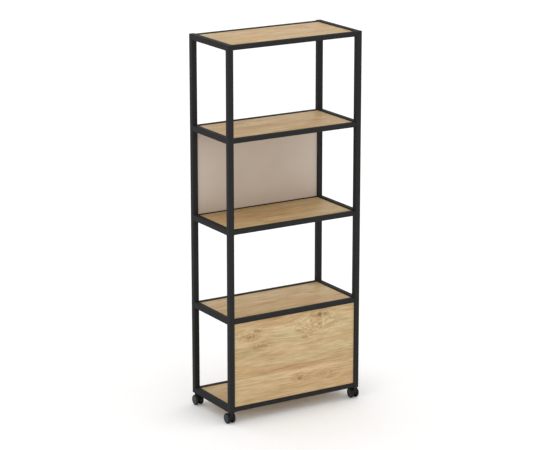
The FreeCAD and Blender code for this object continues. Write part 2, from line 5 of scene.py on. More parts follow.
import bmesh
import bpy
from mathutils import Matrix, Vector


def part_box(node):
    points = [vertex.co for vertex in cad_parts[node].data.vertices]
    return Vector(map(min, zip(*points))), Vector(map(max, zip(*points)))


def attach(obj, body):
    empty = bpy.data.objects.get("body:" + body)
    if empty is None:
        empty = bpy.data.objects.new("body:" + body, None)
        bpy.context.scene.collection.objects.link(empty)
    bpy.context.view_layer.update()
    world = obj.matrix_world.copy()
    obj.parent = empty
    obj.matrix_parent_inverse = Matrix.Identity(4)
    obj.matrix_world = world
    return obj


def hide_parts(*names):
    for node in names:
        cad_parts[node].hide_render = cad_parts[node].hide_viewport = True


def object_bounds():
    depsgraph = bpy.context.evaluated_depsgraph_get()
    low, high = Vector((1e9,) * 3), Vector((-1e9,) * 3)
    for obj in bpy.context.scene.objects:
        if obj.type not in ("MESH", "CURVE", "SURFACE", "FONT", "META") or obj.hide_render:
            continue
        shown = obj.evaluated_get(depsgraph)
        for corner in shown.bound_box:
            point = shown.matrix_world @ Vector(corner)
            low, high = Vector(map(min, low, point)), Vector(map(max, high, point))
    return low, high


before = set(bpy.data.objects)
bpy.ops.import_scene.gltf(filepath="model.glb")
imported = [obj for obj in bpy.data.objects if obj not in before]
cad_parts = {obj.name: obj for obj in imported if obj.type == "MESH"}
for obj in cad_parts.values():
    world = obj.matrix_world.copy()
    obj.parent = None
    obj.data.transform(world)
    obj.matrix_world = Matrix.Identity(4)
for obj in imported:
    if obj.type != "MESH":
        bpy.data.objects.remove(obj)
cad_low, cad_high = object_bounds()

LEVELS = range(1, 6)
CORNERS = ("front_left", "front_right", "rear_left", "rear_right")
ACROSS, DEEP, UP = 0, 1, 2

# Sizes of the visual pieces, in metres
TUBE_RADIUS = 0.003
TUBE_WALL = 0.0015
TUBE_ROUNDING_STEPS = 6
WELD_LEG = 0.0013
# Just short of the leg, so that the roundings of a bead's two sides do not meet
WELD_ROUNDING = 0.98 * WELD_LEG
WELD_STEPS = 4
BOARD_EDGE = 0.0008
EASED_EDGE_STEPS = 3
CAP_FLANGE = 0.0015
CAP_EDGE = 0.0006
CAP_PLUG_INSET = 0.0018
# The caps end a little below the side rails' tops, so that no two faces share a plane
CAP_DROP = 0.00012
WHEEL_RADIUS = 0.028
TREAD_RADIUS = 0.0218
TREAD_LINE = 0.0003

# What is shaded smooth, what runs along an axis and what faces along one
SMOOTH_ANGLE = math.radians(35.0)
NEARLY_PARALLEL = 0.99
NEARLY_FACING = 0.9


# Modelling steps

def select_only(piece):
    bpy.ops.object.select_all(action="DESELECT")
    piece.select_set(True)
    bpy.context.view_layer.objects.active = piece


def block(name, low, high):
    """A box between two corners, with its place in its mesh."""
    low, high = Vector(low), Vector(high)
    bpy.ops.object.select_all(action="DESELECT")
    bpy.ops.mesh.primitive_cube_add(size=1.0, location=(low + high) / 2, scale=high - low)
    piece = bpy.context.object
    piece.name = name
    piece.data.name = name
    bpy.ops.object.transform_apply(location=True, rotation=True, scale=True)
    return piece


def open_mesh(piece):
    select_only(piece)
    bpy.ops.object.mode_set(mode="EDIT")


def pick(piece, kind, wanted):
    """Select the edges or faces of the open mesh that a test wants."""
    bpy.ops.mesh.select_mode(type=kind)
    bpy.ops.mesh.select_all(action="DESELECT")
    mesh = bmesh.from_edit_mesh(piece.data)
    parts = mesh.edges if kind == "EDGE" else mesh.faces
    for part in parts:
        if wanted(part):
            part.select_set(True)
    bmesh.update_edit_mesh(piece.data)


def close_mesh():
    """Leave edit mode with the faces pointing outwards and the rounded edges shaded smooth."""
    bpy.ops.mesh.select_all(action="SELECT")
    bpy.ops.mesh.normals_make_consistent(inside=False)
    bpy.ops.mesh.select_all(action="DESELECT")
    bpy.ops.object.mode_set(mode="OBJECT")
    bpy.ops.object.shade_smooth_by_angle(angle=SMOOTH_ANGLE)


def runs_along(edge, axis):
    step = edge.verts[1].co - edge.verts[0].co
    return abs(step[axis]) > NEARLY_PARALLEL * step.length


def round_edges(radius, steps):
    bpy.ops.mesh.bevel(offset=radius, segments=steps, profile=0.5, affect="EDGES")


def copy_piece(pattern, name, move):
    """A copy with its own mesh, moved by a step."""
    select_only(pattern)
    bpy.ops.object.duplicate(linked=False)
    twin = bpy.context.object
    twin.name = name
    twin.data.name = name
    twin.location = move
    bpy.ops.object.transform_apply(location=True, rotation=True, scale=True)
    return twin


def join_pieces(parts, name):
    """Several meshes as one piece."""
    bpy.ops.object.select_all(action="DESELECT")
    for part in parts:
        part.select_set(True)
    bpy.context.view_layer.objects.active = parts[0]
    bpy.ops.object.join()
    parts[0].name = name
    parts[0].data.name = name
    return parts[0]


def show_for(piece, body, slot_name, *nodes):
    """The piece rides on a body and stands for CAD nodes; slot_name is not used."""
    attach(piece, body)
    if nodes:
        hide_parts(*nodes)


def repeat_for(pattern, nodes, ending, slot_name):
    """A piece that stands for the first of some frame nodes, and copies of it for the others."""
    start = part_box(nodes[0])[0]
    twins = [copy_piece(pattern, f"{node}_{ending}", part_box(node)[0] - start) for node in nodes[1:]]
    pieces = [pattern] + twins
    for piece, node in zip(pieces, nodes):
        show_for(piece, "frame", slot_name, node)
    return pieces


# Tubes of the frame

def square_tube(name, node, axis, past_ends):
    """A hollow tube with rounded corners where a CAD tube is, run on past its ends."""
    low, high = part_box(node)
    low[axis] -= past_ends
    high[axis] += past_ends
    tube = block(name, low, high)
    open_mesh(tube)
    pick(tube, "EDGE", lambda edge: runs_along(edge, axis))
    round_edges(TUBE_RADIUS, TUBE_ROUNDING_STEPS)
    pick(tube, "FACE", lambda face: abs(face.normal[axis]) > NEARLY_FACING)
    bpy.ops.mesh.inset(thickness=TUBE_WALL, use_even_offset=True)
    bpy.ops.mesh.bridge_edge_loops()
    close_mesh()
    return tube


def make_tubes():
    """Posts, and rails of both widths; the side rails' ends fill the posts' rounded corners."""
    posts = [f"{corner}_post" for corner in CORNERS]
    cross_rails = [f"{side}_rail_{level}" for level in LEVELS for side in ("front", "rear")]
    side_rails = [f"{side}_rail_{level}" for level in LEVELS for side in ("left", "right")]
    kinds = (
        (posts, UP, 0.0),
        (cross_rails, ACROSS, 0.0),
        (side_rails, DEEP, TUBE_RADIUS),
    )
    tubes = []
    for nodes, axis, past_ends in kinds:
        pattern = square_tube(f"{nodes[0]}_tube", nodes[0], axis, past_ends)
        tubes += repeat_for(pattern, nodes, "tube", "frame_black")
    return tubes


def make_welds():
    """A low weld bead round each end of the front and rear rails, all as one piece."""
    end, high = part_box("front_rail_1")
    far = Vector((end.x, high.y, high.z))
    leg = Vector((WELD_LEG, WELD_LEG, WELD_LEG))
    bead = block("rail_welds", end - leg, far + leg)
    open_mesh(bead)
    pick(bead, "EDGE", lambda edge: runs_along(edge, ACROSS))
    round_edges(TUBE_RADIUS + WELD_LEG, TUBE_ROUNDING_STEPS)
    pick(bead, "EDGE", lambda edge: not runs_along(edge, ACROSS))
    round_edges(WELD_ROUNDING, WELD_STEPS)
    close_mesh()
    beads = [bead]
    for level in LEVELS:
        for side in ("front", "rear"):
            rail_low, rail_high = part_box(f"{side}_rail_{level}")
            for x in (rail_low.x, rail_high.x):
                move = Vector((x, rail_low.y, rail_low.z)) - end
                if move.length > WELD_LEG:
                    beads.append(copy_piece(bead, "rail_weld", move))
    welds = join_pieces(beads, "rail_welds")
    show_for(welds, "frame", "frame_black")
    return welds


# Boards, panels and caps

def eased_board(name, node):
    """A board where a CAD board is, its edges eased all round."""
    board = block(name, *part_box(node))
    open_mesh(board)
    bpy.ops.mesh.select_all(action="SELECT")
    round_edges(BOARD_EDGE, EASED_EDGE_STEPS)
    close_mesh()
    return board


def make_boards():
    """Five shelves, all alike."""
    shelves = [f"shelf_{level}" for level in LEVELS]
    pattern = eased_board("shelf_1_board", "shelf_1")
    return repeat_for(pattern, shelves, "board", "oak_board")


def make_panels():
    """The front panel, and the back panel as a copy of it."""
    front = eased_board("front_panel_board", "front_panel")
    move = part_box("back_panel")[0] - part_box("front_panel")[0]
    back = copy_piece(front, "back_panel_board", move)
    show_for(front, "frame", "oak_board", "front_panel")
    show_for(back, "frame", "taupe_board", "back_panel")
    return front, back


def make_caps():
    """A moulded cap on each post: an eased flange and the plug below it."""
    low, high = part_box("front_left_post")
    plug_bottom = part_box("post_caps")[0].z
    top = high.z + CAP_FLANGE - CAP_DROP
    cap = block("post_caps_moulded", (low.x, low.y, high.z), (high.x, high.y, top))
    open_mesh(cap)
    pick(cap, "EDGE", lambda edge: runs_along(edge, UP))
    round_edges(TUBE_RADIUS, TUBE_ROUNDING_STEPS)
    pick(cap, "FACE", lambda face: face.normal.z < -NEARLY_FACING)
    bpy.ops.mesh.inset(thickness=CAP_PLUG_INSET, use_even_offset=True)
    down = (0.0, 0.0, plug_bottom - high.z)
    bpy.ops.mesh.extrude_region_move(TRANSFORM_OT_translate={"value": down})
    pick(cap, "EDGE", lambda edge: all(abs(vert.co.z - top) < CAP_DROP / 2 for vert in edge.verts))
    round_edges(CAP_EDGE, EASED_EDGE_STEPS)
    close_mesh()
    caps = [cap]
    for corner in CORNERS[1:]:
        caps.append(copy_piece(cap, "post_cap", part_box(f"{corner}_post")[0] - low))
    moulded = join_pieces(caps, "post_caps_moulded")
    show_for(moulded, "frame", "black_plastic", "post_caps")
    return moulded


# Shader nodes

# Sockets of a Mix node that mixes colours
MIX_FACTOR, MIX_FIRST, MIX_SECOND = 0, 6, 7
MIX_RESULT = 2


def add_node(tree, kind, **settings):
    node = tree.nodes.new("ShaderNode" + kind)
    for key, value in settings.items():
        setattr(node, key, value)
    return node


def feed(tree, socket, value):
    """Link a socket to another node's output, or set its own value."""
    if isinstance(value, bpy.types.NodeSocket):
        tree.links.new(value, socket)
    else:
        socket.default_value = value


def sums(tree, operation, *values):
    """A Math node on one to three values."""
    node = add_node(tree, "Math", operation=operation)
    for socket, value in zip(node.inputs, values):
        feed(tree, socket, value)
    return node.outputs[0]


def joined(tree, x, y, z):
    node = add_node(tree, "CombineXYZ")
    for socket, value in zip(node.inputs, (x, y, z)):
        feed(tree, socket, value)
    return node.outputs[0]


def split(tree, vector):
    node = add_node(tree, "SeparateXYZ")
    feed(tree, node.inputs[0], vector)
    return node.outputs


def noise(tree, vector, scale=1.0, detail=2.0):
    node = add_node(tree, "TexNoise")
    for key, value in (("Vector", vector), ("Scale", scale), ("Detail", detail)):
        feed(tree, node.inputs[key], value)
    return node.outputs["Fac"]


def ranged(tree, value, low, high, to_low=0.0, to_high=1.0, kind="LINEAR"):
    """A value taken from one range to another and held inside it."""
    node = add_node(tree, "MapRange", interpolation_type=kind, clamp=True)
    names = ("Value", "From Min", "From Max", "To Min", "To Max")
    for key, given in zip(names, (value, low, high, to_low, to_high)):
        feed(tree, node.inputs[key], given)
    return node.outputs["Result"]


def fading(tree, value, near, far, full=1.0):
    """Full up to a near value, and smoothly down to nothing at a far one."""
    return ranged(tree, value, near, far, full, 0.0, "SMOOTHSTEP")


def even_mix(tree, first, second):
    """The mean of two values."""
    return sums(tree, "MULTIPLY_ADD", first, 0.5, sums(tree, "MULTIPLY", second, 0.5))


def square_sum(tree, first, second):
    """The sum of two values' squares."""
    return sums(tree, "MULTIPLY_ADD", first, first, sums(tree, "MULTIPLY", second, second))


def shaken(tree, value, wave, amount):
    """A value moved by a wave from 0 to 1, by half an amount to each side."""
    return sums(tree, "MULTIPLY_ADD", wave, amount, sums(tree, "ADD", value, -amount / 2))


def mixed(tree, factor, first, second, blend="MIX"):
    """Two colours mixed by a factor."""
    node = add_node(tree, "Mix", data_type="RGBA", blend_type=blend, clamp_factor=True)
    feed(tree, node.inputs[MIX_FACTOR], factor)
    feed(tree, node.inputs[MIX_FIRST], first)
    feed(tree, node.inputs[MIX_SECOND], second)
    return node.outputs[MIX_RESULT]


def ramp(tree, value, *stops):
    """A colour for each place along a value from 0 to 1."""
    node = add_node(tree, "ValToRGB")
    elements = node.color_ramp.elements
    while len(elements) < len(stops):
        elements.new(0.5)
    for element, (place, colour) in zip(elements, stops):
        element.position = place
        element.color = (*colour, 1.0)
    feed(tree, node.inputs[0], value)
    return node.outputs["Color"]


def new_group(name, takes, gives):
    """A node group whose sockets are numbers, apart from an input called Vector."""
    tree = bpy.data.node_groups.new(name, "ShaderNodeTree")
    for key in takes:
        kind = "NodeSocketVector" if key == "Vector" else "NodeSocketFloat"
        tree.interface.new_socket(name=key, in_out="INPUT", socket_type=kind)
    for key in gives:
        tree.interface.new_socket(name=key, in_out="OUTPUT", socket_type="NodeSocketFloat")
    return tree, tree.nodes.new("NodeGroupInput").outputs, tree.nodes.new("NodeGroupOutput").inputs


def use_group(tree, group, **values):
    node = add_node(tree, "Group", node_tree=group)
    for key, value in values.items():
        feed(tree, node.inputs[key.replace("_", " ")], value)
    return node.outputs


# Oak round a knot

# A knot is longer along the grain, so a step along it counts for less than one across it
GRAIN_DRAWN_OUT = 0.45
HEART_DRAWN_OUT = 0.80
# How hard a knot pushes the grain aside, and how much it spares its own middle
KNOT_PUSH = -1.3
KNOT_CORE = 0.45
# Where the curl and the halo round a knot start to fade and where they end, counted in its reach
CURL_RANGE = (0.5, 3.2)
HALO_RANGE = (1.0, 6.5)
# Reaches, in metres, between which pale wood round a knot comes in
PALE_REACH_RANGE = (0.011, 0.0135)
# Where the dark heart and the streaks at its ends start to fade and where they end, counted in its radius
HEART_RANGE = (0.2, 1.7)
STREAK_ASIDE_RANGE = (0.1, 0.9)
STREAK_ALONG_RANGE = (1.0, 9.0)
STREAK_DARKNESS = 0.4


def make_knot_group():
    """One knot: its push across the grain, its dark heart and streaks, and the wood round it."""
    tree, takes, gives = new_group(
        "oak_knot", ("Along", "Across", "Knot Along", "Knot Across", "Reach", "Heart"),
        ("Push", "Dark", "Curl", "Halo", "Pale"))
    along = sums(tree, "SUBTRACT", takes["Along"], takes["Knot Along"])
    across = sums(tree, "SUBTRACT", takes["Across"], takes["Knot Across"])

    square = square_sum(tree, sums(tree, "MULTIPLY", along, GRAIN_DRAWN_OUT), across)
    reach_square = sums(tree, "MULTIPLY", takes["Reach"], takes["Reach"])
    spread = sums(tree, "MULTIPLY_ADD", reach_square, KNOT_CORE, square)
    push = sums(tree, "DIVIDE", sums(tree, "MULTIPLY", across, reach_square), spread)
    feed(tree, gives["Push"], sums(tree, "MULTIPLY", push, KNOT_PUSH))

    away = sums(tree, "DIVIDE", sums(tree, "SQRT", square), takes["Reach"])
    curl = fading(tree, away, *CURL_RANGE)
    halo = fading(tree, away, *HALO_RANGE)
    beyond_curl = sums(tree, "MULTIPLY", halo, sums(tree, "SUBTRACT", 1.0, curl))
    feed(tree, gives["Curl"], curl)
    feed(tree, gives["Halo"], halo)
    large = ranged(tree, takes["Reach"], *PALE_REACH_RANGE)
    feed(tree, gives["Pale"], sums(tree, "MULTIPLY", beyond_curl, large))

    heart_square = square_sum(tree, sums(tree, "MULTIPLY", along, HEART_DRAWN_OUT), across)
    out = sums(tree, "DIVIDE", sums(tree, "SQRT", heart_square), takes["Heart"])
    aside = sums(tree, "DIVIDE", sums(tree, "ABSOLUTE", across), takes["Heart"])
    lengthwise = sums(tree, "DIVIDE", sums(tree, "ABSOLUTE", along), takes["Heart"])
    streak = sums(
        tree, "MULTIPLY",
        fading(tree, aside, *STREAK_ASIDE_RANGE, STREAK_DARKNESS),
        fading(tree, lengthwise, *STREAK_ALONG_RANGE))
    feed(tree, gives["Dark"], sums(tree, "MAXIMUM", fading(tree, out, *HEART_RANGE), streak))
    return tree


# Straight oak grain

# Shares of bands, streaks, lines and fibres in the tone
BAND_SHARE = 0.34
STREAK_SHARE = 0.34
LINE_SHARE = 0.30
FIBRE_SHARE = 0.34
NOISE_MIDDLE = 0.5
VEIN_WIDTH = 0.040
# Metres from one growth ring to the next, and how far they wander, in radians of their wave
RING_SPACING = 0.020
RING_WANDER = 12.0


def grain_tone(tree, layer, streak_width):
    """Bands, streaks, lines and fibres, each finer than the one before."""
    bands = layer(length=0.50, width=0.060, offset=0.0)
    streaks = layer(length=0.12, width=streak_width, offset=11.3)
    lines = layer(length=0.07, width=0.0046, offset=23.1)
    fibres = layer(length=0.06, width=0.0017, offset=91.7)
    tone = sums(tree, "MULTIPLY_ADD", bands, BAND_SHARE, sums(tree, "MULTIPLY", streaks, STREAK_SHARE))
    tone = sums(tree, "MULTIPLY_ADD", lines, LINE_SHARE, tone)
    return sums(tree, "MULTIPLY_ADD", sums(tree, "SUBTRACT", fibres, NOISE_MIDDLE), FIBRE_SHARE, tone)


def grain_warmth(tree, layer):
    """Warmer and yellower patches, from 0 to 1."""
    return ranged(tree, layer(length=0.34, width=0.075, offset=37.7), low=0.36, high=0.64)


def grain_rings(tree, layer, across):
    """Growth rings that wander, and that come and go."""
    wander = sums(tree, "MULTIPLY", layer(length=0.90, width=0.085, offset=5.9, detail=1.0), RING_WANDER)
    turn = sums(tree, "MULTIPLY_ADD", across, math.tau / RING_SPACING, wander)
    coming = layer(length=0.45, width=0.060, offset=3.3, detail=1.0)
    strength = ranged(tree, coming, low=0.40, high=0.60, to_low=0.25)
    return sums(tree, "MULTIPLY", sums(tree, "SINE", turn), strength)


def grain_veins(tree, layer):
    """Thin broken lines, where a slow noise passes its middle."""
    slow = layer(length=0.40, width=0.028, offset=67.3, detail=1.0)
    from_middle = sums(tree, "ABSOLUTE", sums(tree, "SUBTRACT", slow, NOISE_MIDDLE))
    line = ranged(tree, from_middle, low=0.0, high=VEIN_WIDTH, to_low=1.0, to_high=0.0)
    breaks = ranged(tree, layer(length=0.10, width=0.020, offset=79.9), low=0.45, high=0.58)
    return sums(tree, "MULTIPLY", line, breaks)


def grain_pores(tree, layer):
    """Short open pores, closest together in rows along the grain."""
    dashes = ranged(tree, layer(length=0.011, width=0.0007, offset=51.9, detail=0.0), low=0.60, high=0.74)
    rows = layer(length=0.45, width=0.016, offset=103.3, detail=1.0)
    return sums(tree, "MULTIPLY", dashes, ranged(tree, rows, low=0.42, high=0.58, to_low=0.25))


def make_grain_group():
    """Oak grain by its tone, warm patches, veins, growth rings and pores."""
    tree, takes, gives = new_group(
        "oak_grain", ("Along", "Across", "Seed", "Streak Width"),
        ("Tone", "Warmth", "Veins", "Rings", "Pores"))

    def layer(length, width, offset, detail=2.0):
        """Noise whose marks are so long and wide, in metres; the offset gives each layer its own."""
        return noise(tree, joined(
            tree,
            sums(tree, "DIVIDE", takes["Along"], length),
            sums(tree, "DIVIDE", takes["Across"], width),
            sums(tree, "ADD", takes["Seed"], offset),
        ), detail=detail)

    feed(tree, gives["Tone"], grain_tone(tree, layer, takes["Streak Width"]))
    feed(tree, gives["Warmth"], grain_warmth(tree, layer))
    feed(tree, gives["Veins"], grain_veins(tree, layer))
    feed(tree, gives["Rings"], grain_rings(tree, layer, takes["Across"]))
    feed(tree, gives["Pores"], grain_pores(tree, layer))
    return tree


# Fine moulded and sprayed surfaces

PATCHES_TO_A_METRE = 14.0
PATCH_RANGE = (0.3, 0.7)


def make_fine_group():
    """A fine surface: bumps of a given grain in metres, and slow changes over the piece."""
    tree, takes, gives = new_group("fine_surface", ("Vector", "Grain"), ("Height", "Patches"))
    place = add_node(tree, "VectorMath", operation="SCALE")
    feed(tree, place.inputs["Vector"], takes["Vector"])
    feed(tree, place.inputs["Scale"], sums(tree, "DIVIDE", 1.0, takes["Grain"]))
    feed(tree, gives["Height"], noise(tree, place.outputs[0]))
    feed(tree, gives["Patches"], noise(tree, takes["Vector"], PATCHES_TO_A_METRE, detail=3.0))
    return tree


knot_group = make_knot_group()
grain_group = make_grain_group()
fine_group = make_fine_group()


# Plain finishes

FINE_COLOUR_RANGE = (0.36, 0.64)
FINE_BUMP_STRENGTH = 0.5
BOARD_GLOSS = 0.35
TAUPE_DARK = (0.602, 0.513, 0.429)
TAUPE_LIGHT = (0.668, 0.578, 0.492)
TAUPE_COLOUR_RANGE = (0.32, 0.68)
TAUPE_GRAIN = 0.0011
TAUPE_CLOUDS_TO_A_METRE = 5.0
TAUPE_ROUGHNESS = (0.5, 0.6)


def new_finish(name, **constants):
    """A material with constant sockets set; gives it, its tree, its shader and Object coordinates."""
    finish = bpy.data.materials.new(name)
    finish.use_nodes = True
    tree = finish.node_tree
    shader = tree.nodes["Principled BSDF"]
    for key, value in constants.items():
        shader.inputs[key.replace("_", " ")].default_value = value
    place = add_node(tree, "TexCoord").outputs["Object"]
    return finish, tree, shader, place


def add_bump(tree, shader, height, depth, strength):
    bump = add_node(tree, "Bump")
    feed(tree, bump.inputs["Height"], height)
    bump.inputs["Distance"].default_value = depth
    bump.inputs["Strength"].default_value = strength
    feed(tree, shader.inputs["Normal"], bump.outputs["Normal"])


def fine_finish(name, dark, light, rough, grain, depth, **constants):
    """A plain finish whose colour and gloss drift a little over the piece, with fine bumps."""
    finish, tree, shader, place = new_finish(name, **constants)
    surface = use_group(tree, fine_group, Vector=place, Grain=grain)
    tone = even_mix(tree, surface["Height"], surface["Patches"])
    feed(tree, shader.inputs["Base Color"], ramp(tree, tone, *zip(FINE_COLOUR_RANGE, (dark, light))))
    feed(tree, shader.inputs["Roughness"], ranged(tree, surface["Patches"], *PATCH_RANGE, *rough))
    add_bump(tree, shader, surface["Height"], depth, FINE_BUMP_STRENGTH)
    return finish


def taupe_finish(name):
    """A plain taupe sheet: faint cloudiness and a fine pressed texture."""
    finish, tree, shader, place = new_finish(name, Specular_IOR_Level=BOARD_GLOSS)
    surface = use_group(tree, fine_group, Vector=place, Grain=TAUPE_GRAIN)
    clouds = noise(tree, place, TAUPE_CLOUDS_TO_A_METRE, detail=3.0)
    tone = even_mix(tree, surface["Height"], clouds)
    colour = ramp(tree, tone, *zip(TAUPE_COLOUR_RANGE, (TAUPE_DARK, TAUPE_LIGHT)))
    feed(tree, shader.inputs["Base Color"], colour)
    roughness = ranged(tree, surface["Patches"], *PATCH_RANGE, *TAUPE_ROUGHNESS)
    feed(tree, shader.inputs["Roughness"], roughness)
    add_bump(tree, shader, surface["Height"], depth=0.00012, strength=0.4)
    return finish


# Oak

Knot = namedtuple("Knot", "along across reach heart darkness")
Joint = namedtuple("Joint", "across contrast warmth_below")

OAK_DARK = (0.430, 0.272, 0.129)
OAK_MIDDLE = (0.575, 0.405, 0.207)
OAK_LIGHT = (0.693, 0.539, 0.330)
OAK_ORANGE = (1.016, 0.948, 0.885)
OAK_YELLOW = (1.002, 1.030, 1.000)
OAK_KNOT = (0.190, 0.088, 0.016)
OAK_PORE = (0.300, 0.175, 0.080)
# The tones at which the wood is dark, middling and light
OAK_TONES = (0.36, 0.49, 0.62)
MIDDLE_TONE = OAK_TONES[1]

# Waves a metre along and across the grain, and how far in metres they move it
SLOW_WAVES = (2.2, 6.0)
SLOW_SWAY = 0.008
QUICK_WAVES = (13.0, 30.0)
SWAY_CALM = 0.0015
SWAY_WILD = 0.0065
# How far, in metres, the outline of a knot is ragged, and how finely
RAGGED_ALONG = 0.016
RAGGED_ACROSS = -0.010
RAGGED_SCALE = 75.0
# The plank under a joint is lighter, most of all in a strip along it, and the one above is darker there
PLANK_REACH = 0.20
JOINT_STRIP = 0.06
LOWER_LIGHTER = (1.0, 0.40)
UPPER_DARKER = 0.6
# How strong the marks are in the tone, in calm wood and in the wilder wood round knots
CONTRAST_CALM = 0.78
CONTRAST_WILD = 1.15
FIGURE_DRAWN_OUT = 0.45
FIGURE_SCALE = 120.0
FIGURE_CONTRAST = 0.70
FIGURE_DARKER = -0.385
VEIN_DEPTH = -0.080
PORE_DEPTH = 0.45
PALE_HALO = 0.060
YELLOW_HALO = -0.30


def sway(tree, along, across, seed, waves):
    """Noise from 0 to 1 with so many waves a metre along and across the grain."""
    waves_along, waves_across = waves
    return noise(tree, joined(
        tree,
        sums(tree, "MULTIPLY", along, waves_along),
        sums(tree, "MULTIPLY", across, waves_across),
        seed,
    ))


def run_round_knots(tree, along, across, seed, knots):
    """The place across the grain as its lines run round the knots, and the marks of the knots."""
    pushed = sums(tree, "MULTIPLY_ADD", sway(tree, along, across, seed, SLOW_WAVES), SLOW_SWAY, across)
    ragged = noise(tree, joined(tree, along, across, seed), RAGGED_SCALE)
    ragged_along = shaken(tree, along, ragged, RAGGED_ALONG)
    ragged_across = shaken(tree, across, ragged, RAGGED_ACROSS)
    marks = dict.fromkeys(("Dark", "Curl", "Halo", "Pale"), 0.0)
    for knot in knots:
        wood = use_group(
            tree, knot_group, Along=ragged_along, Across=ragged_across, Knot_Along=knot.along,
            Knot_Across=knot.across, Reach=knot.reach, Heart=knot.heart)
        pushed = sums(tree, "ADD", pushed, wood["Push"])
        dark = sums(tree, "MULTIPLY", wood["Dark"], knot.darkness)
        marks["Dark"] = sums(tree, "MAXIMUM", marks["Dark"], dark)
        for mark in ("Curl", "Halo", "Pale"):
            marks[mark] = sums(tree, "MAXIMUM", marks[mark], wood[mark])
    amount = ranged(tree, marks["Halo"], 0.0, 1.0, SWAY_CALM, SWAY_WILD)
    quick = sway(tree, along, across, seed, QUICK_WAVES)
    return sums(tree, "MULTIPLY_ADD", quick, amount, pushed), marks


def lay_planks(tree, across, seed, plank_step, joints):
    """A seed for each plank, the tone on both sides of its joint, and its warmth."""
    plank = seed
    joint_tone = 0.0
    warmth = 0.0
    for joint in joints:
        above = sums(tree, "GREATER_THAN", across, joint.across)
        plank = sums(tree, "ADD", plank, sums(tree, "MULTIPLY", above, plank_step))
        down = sums(tree, "SUBTRACT", joint.across, across)
        in_lower = sums(tree, "COMPARE", down, PLANK_REACH / 2, PLANK_REACH / 2)
        lower = sums(tree, "MULTIPLY", in_lower, ranged(tree, down, 0.0, JOINT_STRIP, *LOWER_LIGHTER))
        in_upper = sums(tree, "LESS_THAN", down, 0.0)
        upper = sums(
            tree, "MULTIPLY", in_upper, ranged(tree, down, -JOINT_STRIP, 0.0, 0.0, UPPER_DARKER))
        step = sums(tree, "SUBTRACT", lower, upper)
        joint_tone = sums(tree, "MULTIPLY_ADD", step, joint.contrast, joint_tone)
        below = sums(tree, "GREATER_THAN", down, 0.0)
        warmth = sums(tree, "MULTIPLY_ADD", below, joint.warmth_below, warmth)
    return plank, joint_tone, warmth


def oak_tone(tree, grain, figure, joint_tone, marks, ring_depth):
    """How light the wood is, about its middle tone."""
    tone = sums(tree, "MULTIPLY_ADD", grain["Veins"], VEIN_DEPTH, sums(tree, "ADD", grain["Tone"], figure))
    tone = sums(tree, "ADD", joint_tone, tone)
    contrast = ranged(tree, marks["Halo"], 0.0, 1.0, CONTRAST_CALM, CONTRAST_WILD)
    from_middle = sums(tree, "SUBTRACT", tone, MIDDLE_TONE)
    tone = sums(tree, "MULTIPLY_ADD", from_middle, contrast, MIDDLE_TONE)
    depth = ranged(tree, marks["Halo"], 0.0, 1.0, ring_depth, 0.0)
    tone = sums(tree, "MULTIPLY_ADD", grain["Rings"], depth, tone)
    return sums(tree, "MULTIPLY_ADD", marks["Pale"], PALE_HALO, tone)


def oak_colour(tree, tone, warmth, pores, dark, shade):
    """The wood's colour by tone and warmth, with its pores and the knots' hearts."""
    colours = [tuple(map(operator.mul, colour, shade)) for colour in (OAK_DARK, OAK_MIDDLE, OAK_LIGHT)]
    wood = ramp(tree, tone, *zip(OAK_TONES, colours))
    tint = ramp(tree, warmth, (0.0, OAK_YELLOW), (1.0, OAK_ORANGE))
    wood = mixed(tree, 1.0, wood, tint, "MULTIPLY")
    wood = mixed(tree, sums(tree, "MULTIPLY", pores, PORE_DEPTH), wood, (*OAK_PORE, 1.0))
    return mixed(tree, dark, wood, (*OAK_KNOT, 1.0))


def oak_finish(name, seed, plank_step, shade, streak_width, ring_depth, knots, joints):
    """Light oak in planks, its grain along X; Y and Z are added, so it runs on over a board's edges."""
    finish, tree, shader, place = new_finish(name, Specular_IOR_Level=BOARD_GLOSS)
    spot = split(tree, place)
    along = spot["X"]
    across = sums(tree, "ADD", spot["Y"], spot["Z"])
    pushed, marks = run_round_knots(tree, along, across, seed, knots)
    plank, joint_tone, plank_warmth = lay_planks(tree, across, seed, plank_step, joints)
    grain = use_group(
        tree, grain_group, Along=along, Across=pushed, Seed=plank, Streak_Width=streak_width)
    drawn_out = joined(tree, sums(tree, "MULTIPLY", along, FIGURE_DRAWN_OUT), pushed, seed)
    figure = noise(tree, drawn_out, FIGURE_SCALE, detail=3.0)
    figure = sums(tree, "MULTIPLY_ADD", figure, FIGURE_CONTRAST, FIGURE_DARKER)
    figure = sums(tree, "MULTIPLY", marks["Curl"], figure)
    tone = oak_tone(tree, grain, figure, joint_tone, marks, ring_depth)
    warmth = sums(tree, "ADD", grain["Warmth"], plank_warmth)
    warmth = sums(tree, "MULTIPLY_ADD", marks["Pale"], YELLOW_HALO, warmth)
    colour = oak_colour(tree, tone, warmth, grain["Pores"], marks["Dark"], shade)
    feed(tree, shader.inputs["Base Color"], colour)
    roughness = ranged(tree, tone, low=0.35, high=0.65, to_low=0.56, to_high=0.46)
    feed(tree, shader.inputs["Roughness"], roughness)
    height = sums(tree, "SUBTRACT", tone, grain["Pores"])
    add_bump(tree, shader, height, depth=0.0002, strength=0.35)
    return finish


def panel_spot(part_across, part_down):
    """Along and across the grain on the front panel's face, by shares of its width and height."""
    low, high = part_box("front_panel")
    return low.x + part_across * (high.x - low.x), high.z - part_down * (high.z - low.z) + low.y


def panel_knot(part_across, part_down, reach, heart, darkness):
    return Knot(*panel_spot(part_across, part_down), reach, heart, darkness)


def shelf_spot(level, x, y):
    """Along and across the grain on a shelf's upper face."""
    return x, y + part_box(f"shelf_{level}")[1].z


def shelf_knot(level, x, y, reach, heart):
    return Knot(*shelf_spot(level, x, y), reach, heart, SHELF_KNOT_DARKNESS)


